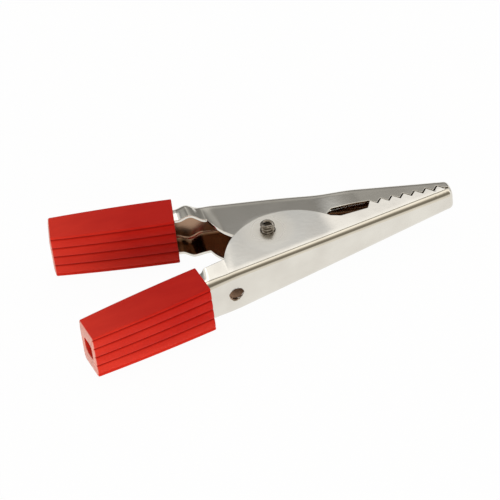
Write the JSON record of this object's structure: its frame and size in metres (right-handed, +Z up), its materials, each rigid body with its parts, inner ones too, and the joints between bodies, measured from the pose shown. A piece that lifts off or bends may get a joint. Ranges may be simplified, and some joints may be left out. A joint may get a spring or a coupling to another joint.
{
  "type": "test clip",
  "caption": "Sprung test clip: toothed jaws of bent sheet steel that pivot on a torsion spring's coil, with ribbed plastic grip sleeves on their tails.",
  "frame": {"origin": "middle of the clip's footprint as it lies on its side, level with its lowest point, the end of the spring's coil", "axes": "+X along the bite line towards the teeth, +Y the way the upper jaw opens, +Z up and parallel to the pivot"},
  "size_m": [0.0536, 0.0252, 0.009],
  "materials": {
    "nickel_plated_steel": "bright nickel plate on stamped and bent sheet steel",
    "spring_steel": "bright drawn spring wire",
    "red_plastic": "soft satin moulded vinyl, paler where it is cut to length"
  },
  "bodies": {
    "lower": {"lower_jaw": "nickel_plated_steel", "torsion_spring": "spring_steel", "lower_sleeve": "red_plastic"},
    "upper": {"upper_jaw": "nickel_plated_steel", "upper_sleeve": "red_plastic"}
  },
  "joints": [
    {"name": "jaw_pivot", "type": "hinge", "parent": "lower", "child": "upper", "pos_m": [0.00111, -0.00055, 0.00452], "axis": [0, 0, 1], "range_deg": [0, 28], "stiffness_Nm_per_rad": 0.005, "springref_deg": -22.92, "deforming": ["torsion_spring"]}
  ]
}
